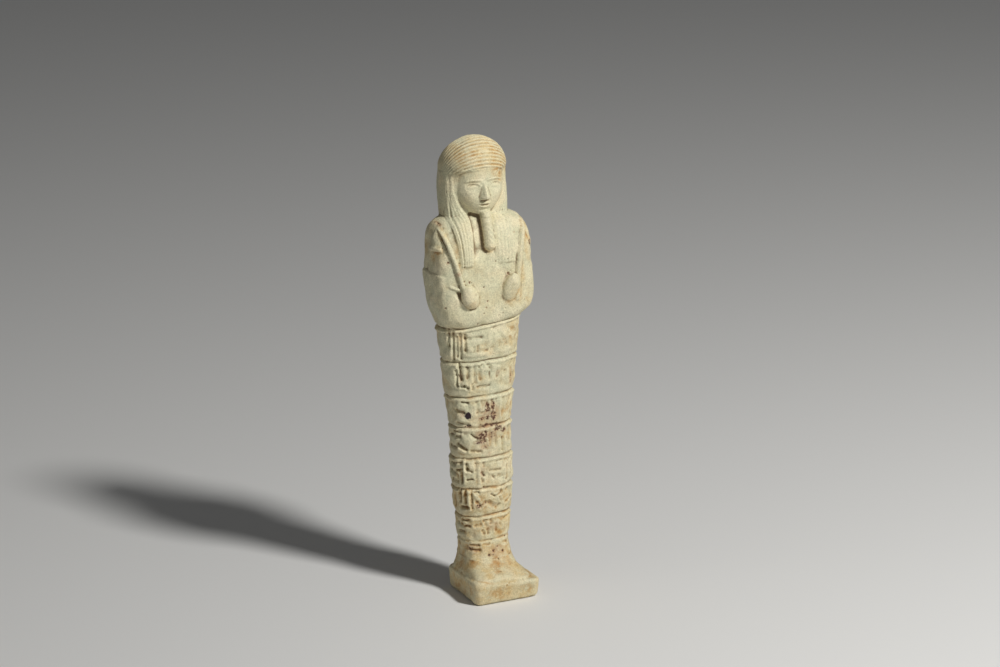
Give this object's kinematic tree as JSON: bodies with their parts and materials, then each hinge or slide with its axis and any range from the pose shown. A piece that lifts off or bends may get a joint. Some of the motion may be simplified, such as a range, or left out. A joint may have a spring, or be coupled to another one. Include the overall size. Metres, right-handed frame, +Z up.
{
  "type": "ushabti figurine",
  "caption": "Mummiform faience figurine with wig, false beard, a hoe in each fist and ringed legs, moulded in one with its low base.",
  "frame": {"origin": "centre of the bounding box at the underside of the base", "axes": "+Z up through the crown of the head, -Y the way the figure faces, +X towards its left hand"},
  "size_m": [0.0432, 0.0312, 0.181],
  "materials": {
    "faience": "matt, sandy, pale green-cream with buff wear"
  },
  "bodies": {
    "root": {"ushabti": "faience"}
  },
  "joints": []
}
